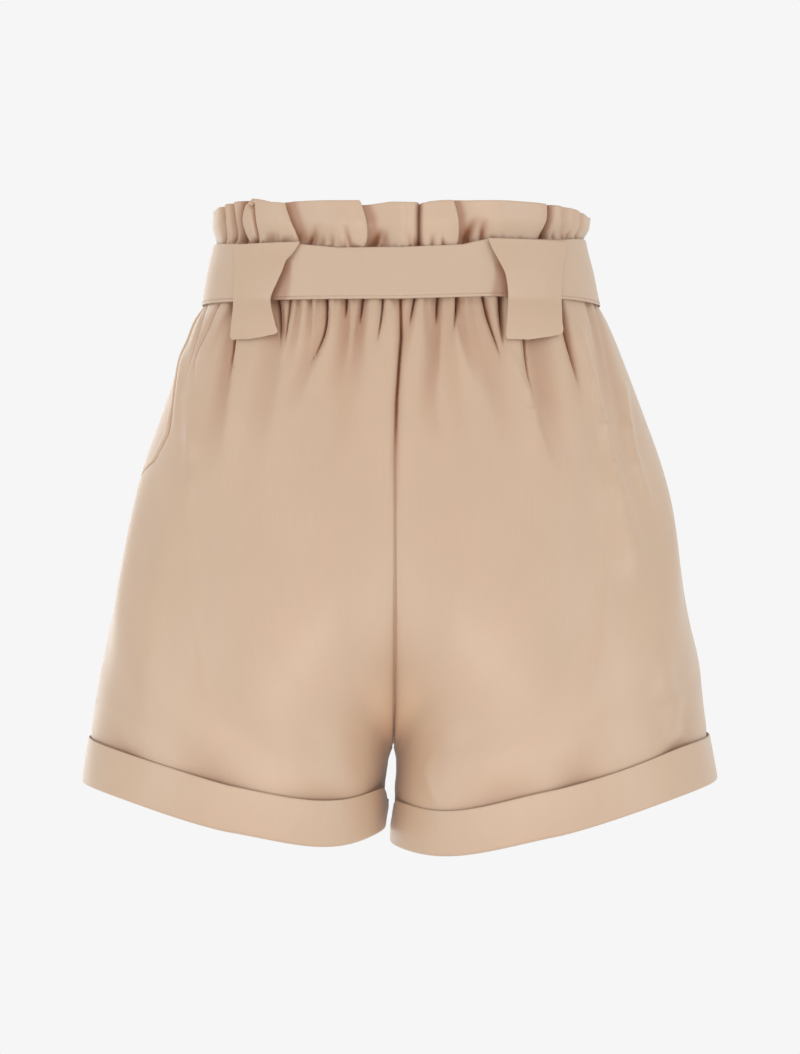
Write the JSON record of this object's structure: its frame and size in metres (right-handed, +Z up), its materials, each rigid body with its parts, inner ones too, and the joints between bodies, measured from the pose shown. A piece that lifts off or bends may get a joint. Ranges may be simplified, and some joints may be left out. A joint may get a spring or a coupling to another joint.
{
  "type": "paperbag shorts",
  "caption": "High-waisted paperbag shorts in plain camel cloth, worn form: gathered waist with ruffled top edge, tie belt in wide back loops, flared legs with turned-up cuffs.",
  "frame": {"origin": "the middle of the waist, half way up the belt", "axes": "+Z up, the front faces -Y, +X is the wearer's left"},
  "size_m": [0.4114, 0.2297, 0.4129],
  "materials": {
    "shorts_cloth": "fine matt weave with a soft sheen, camel",
    "belt_cloth": "the same cloth, doubled and pressed flat"
  },
  "bodies": {
    "root": {"back_left": "shorts_cloth", "back_right": "shorts_cloth", "front_left": "shorts_cloth", "front_right": "shorts_cloth", "waistband": "shorts_cloth", "frill": "shorts_cloth", "loop_left": "shorts_cloth", "loop_right": "shorts_cloth", "cuff_left": "shorts_cloth", "cuff_right": "shorts_cloth", "belt": "belt_cloth", "belt_knot": "belt_cloth", "belt_end_left": "belt_cloth", "belt_end_right": "belt_cloth"}
  },
  "joints": []
}
